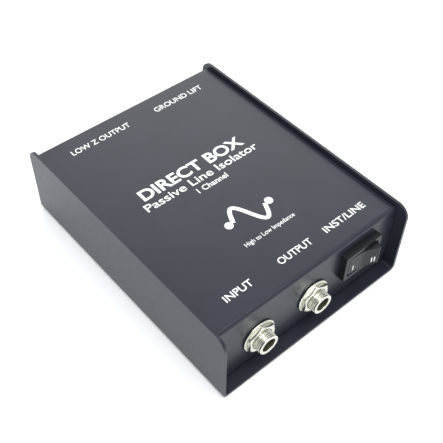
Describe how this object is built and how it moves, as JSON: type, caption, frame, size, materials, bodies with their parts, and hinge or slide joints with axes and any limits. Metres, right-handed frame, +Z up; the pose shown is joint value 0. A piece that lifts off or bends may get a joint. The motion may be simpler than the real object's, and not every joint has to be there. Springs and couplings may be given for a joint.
{
  "type": "direct injection box",
  "caption": "Passive direct box: folded black steel case with side plates, quarter-inch jacks, a level rocker switch, a ground lift rocker and a male XLR.",
  "frame": {"origin": "middle of the tray's flat underside, on the surface that the box stands on", "axes": "+X to the right seen from the jack panel, -Y out of the jack panel, +Y out of the XLR panel, +Z up"},
  "size_m": [0.1, 0.1354, 0.0384],
  "materials": {
    "powder_coat": "fine satin black powder coat",
    "blackened_screw": "black oxide",
    "bright_nickel": "bright nickel plate",
    "brown_fibre": "waxed fibre",
    "spring_bronze": "satin spring bronze",
    "bare_brass": "satin",
    "black_nylon": "moulded semi-gloss",
    "zinc_plate": "bright zinc plate",
    "green_laminate": "solder mask",
    "core_iron": "varnished laminations",
    "varnished_copper": "enamelled wire",
    "resistor_lacquer": "lacquer",
    "film_capacitor": "dipped epoxy",
    "white_wire": "soft insulation",
    "red_wire": "soft insulation",
    "blue_wire": "soft insulation",
    "green_wire": "soft insulation"
  },
  "bodies": {
    "box": {"base_tray": "powder_coat", "top_cover": "powder_coat", "cover_screw_1": "blackened_screw", "cover_screw_2": "blackened_screw", "cover_screw_3": "blackened_screw", "cover_screw_4": "blackened_screw", "input_jack_frame": "bright_nickel", "input_jack_washer": "bright_nickel", "input_jack_nut": "bright_nickel", "input_jack_insulator": "brown_fibre", "input_jack_tip_spring": "spring_bronze", "output_jack_frame": "bright_nickel", "output_jack_washer": "bright_nickel", "output_jack_nut": "bright_nickel", "output_jack_insulator": "brown_fibre", "output_jack_tip_spring": "spring_bronze", "level_switch_housing": "black_nylon", "level_switch_terminal_1": "bare_brass", "level_switch_terminal_2": "bare_brass", "level_switch_terminal_3": "bare_brass", "lift_switch_housing": "black_nylon", "lift_switch_terminal_1": "bare_brass", "lift_switch_terminal_2": "bare_brass", "xlr_shell": "bright_nickel", "xlr_insert": "black_nylon", "xlr_pin_1": "bright_nickel", "xlr_pin_2": "bright_nickel", "xlr_pin_3": "bright_nickel", "xlr_screw_1": "blackened_screw", "xlr_screw_2": "blackened_screw", "xlr_nut_1": "zinc_plate", "xlr_nut_2": "zinc_plate", "circuit_board": "green_laminate", "transformer_core": "core_iron", "transformer_bobbin": "black_nylon", "transformer_winding": "varnished_copper", "transformer_strap": "zinc_plate", "lift_capacitor": "film_capacitor", "pad_resistor_1": "resistor_lacquer", "pad_resistor_2": "resistor_lacquer", "board_post_1": "zinc_plate", "board_post_2": "zinc_plate", "board_post_3": "zinc_plate", "board_post_4": "zinc_plate", "board_screw_1": "zinc_plate", "board_screw_2": "zinc_plate", "board_screw_3": "zinc_plate", "board_screw_4": "zinc_plate", "wire_input_tip": "white_wire", "wire_output_tip": "red_wire", "wire_level_switch": "blue_wire", "wire_xlr_hot": "red_wire", "wire_xlr_cold": "white_wire", "wire_ground_lift": "green_wire"},
    "level_switch_rocker": {"level_switch_rocker": "black_nylon", "level_switch_plunger": "zinc_plate"},
    "level_switch_contact": {"level_switch_contact_bar": "bare_brass"},
    "lift_switch_rocker": {"lift_switch_rocker": "black_nylon", "lift_switch_plunger": "zinc_plate"},
    "lift_switch_contact": {"lift_switch_contact_bar": "bare_brass"}
  },
  "joints": [
    {"name": "level_switch_tilt", "type": "hinge", "parent": "box", "child": "level_switch_rocker", "pos_m": [0.0274, -0.062, 0.0225], "axis": [0, 0, 1], "range_deg": [0, 26]},
    {"name": "level_switch_contact_tilt", "type": "hinge", "parent": "box", "child": "level_switch_contact", "pos_m": [0.0274, -0.05215, 0.0225], "axis": [0, 0, 1], "range_deg": [-16, 0]},
    {"name": "lift_switch_tilt", "type": "hinge", "parent": "box", "child": "lift_switch_rocker", "pos_m": [0.023, 0.0646, 0.0225], "axis": [0, 0, 1], "range_deg": [0, 26]},
    {"name": "lift_switch_contact_tilt", "type": "hinge", "parent": "box", "child": "lift_switch_contact", "pos_m": [0.023, 0.05475, 0.0225], "axis": [0, 0, 1], "range_deg": [-16, 0]}
  ],
  "couplings": [
    {"joint": "level_switch_contact_tilt", "follows": "level_switch_tilt", "ratio": -0.61538},
    {"joint": "lift_switch_contact_tilt", "follows": "lift_switch_tilt", "ratio": -0.61538}
  ]
}
